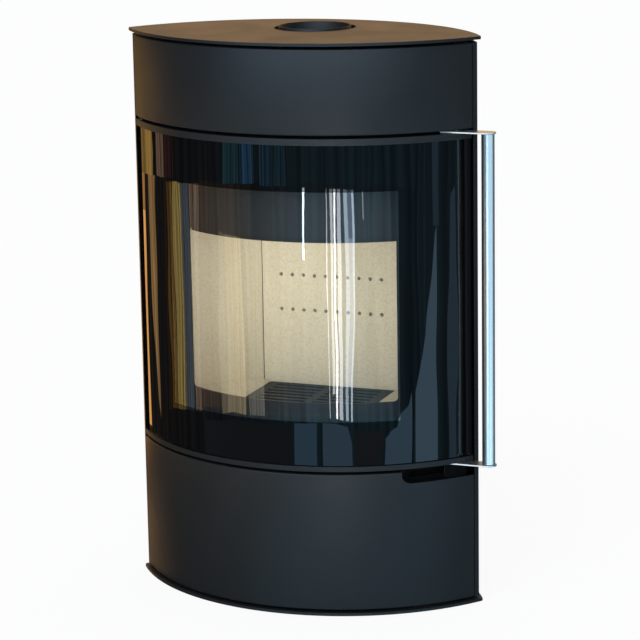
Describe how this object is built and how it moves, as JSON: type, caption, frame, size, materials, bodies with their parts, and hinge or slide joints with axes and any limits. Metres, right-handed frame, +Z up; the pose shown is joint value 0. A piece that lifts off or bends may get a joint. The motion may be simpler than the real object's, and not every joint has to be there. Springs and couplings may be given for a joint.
{
  "type": "wood stove",
  "caption": "Free-standing steel wood stove on a lens-shaped footprint, with a full-width curved glass door, stone-lined firebox, upright handle, top flue collar and air lever.",
  "frame": {"origin": "on the floor, mid-width, on the line through the left and right tips of the footprint", "axes": "+Z up, the glass door faces -Y, +X towards the handle"},
  "size_m": [0.789, 0.434, 1.154],
  "materials": {
    "casing_paint": "matte anthracite stove paint",
    "dark_steel": "matte black stove paint on welded steel",
    "stainless": "brushed stainless steel",
    "zinc_steel": "zinc-plated steel sheet",
    "cast_iron": "raw casting, blackened",
    "lining_stone": "pressed vermiculite board, matte beige",
    "clear_glass": "clear glass ceramic",
    "black_print": "black enamel print behind the glass",
    "seal_rope": "woven glass-fibre rope, dark grey",
    "brass": "plain brass"
  },
  "bodies": {
    "stove": {"base_plate": "casing_paint", "top_plate": "casing_paint", "upper_casing": "casing_paint", "lower_casing": "casing_paint", "rear_casing": "casing_paint", "pedestal": "dark_steel", "side_post_right": "dark_steel", "side_post_left": "dark_steel", "firebox_shell": "dark_steel", "firebox_front_plate": "dark_steel", "firebox_top_plate": "dark_steel", "flue_collar": "dark_steel", "grate_carrier": "dark_steel", "smoke_deflector": "dark_steel", "deflector_rail_right": "dark_steel", "deflector_rail_left": "dark_steel", "air_wash_strip": "dark_steel", "air_recess_panel": "dark_steel", "hinge_lug_top": "dark_steel", "hinge_lug_bottom": "dark_steel", "tertiary_air_duct": "zinc_steel", "ash_pan": "zinc_steel", "rear_heat_shield": "zinc_steel", "casing_clip_upper_right": "zinc_steel", "casing_clip_upper_left": "zinc_steel", "casing_clip_lower_right": "zinc_steel", "casing_clip_lower_left": "zinc_steel", "fresh_air_spigot": "zinc_steel", "air_valve_housing": "zinc_steel", "hinge_pin_top": "zinc_steel", "hinge_pin_bottom": "zinc_steel", "latch_bracket": "zinc_steel", "latch_roller": "brass", "grate": "cast_iron", "base_brick_right": "lining_stone", "base_brick_left": "lining_stone", "base_brick_front": "lining_stone", "lining_right": "lining_stone", "lining_left": "lining_stone", "lining_back": "lining_stone", "baffle_stone": "lining_stone"},
    "door": {"door_rail_top": "casing_paint", "door_rail_bottom": "casing_paint", "door_stile_right": "dark_steel", "door_stile_left": "dark_steel", "door_inner_frame": "dark_steel", "door_seal_channel": "dark_steel", "door_glass": "clear_glass", "glass_print_border": "black_print", "glass_seal_tape": "seal_rope", "door_rope_seal": "seal_rope", "door_latch_tongue": "zinc_steel", "hinge_bush_top": "brass", "hinge_bush_bottom": "brass", "handle_bracket_top": "stainless", "handle_bracket_bottom": "stainless", "handle_tube": "stainless"},
    "air_control": {"air_slide_plate": "zinc_steel", "air_lever": "stainless"}
  },
  "joints": [
    {"name": "door_hinge", "type": "hinge", "parent": "stove", "child": "door", "pos_m": [-0.344, -0.0192, 0.63], "axis": [0, 0, -1], "range_deg": [0, 100]},
    {"name": "air_lever_slide", "type": "slide", "parent": "stove", "child": "air_control", "axis": [-0.7071, -0.7071, 0], "range_m": [0, 0.07]}
  ]
}
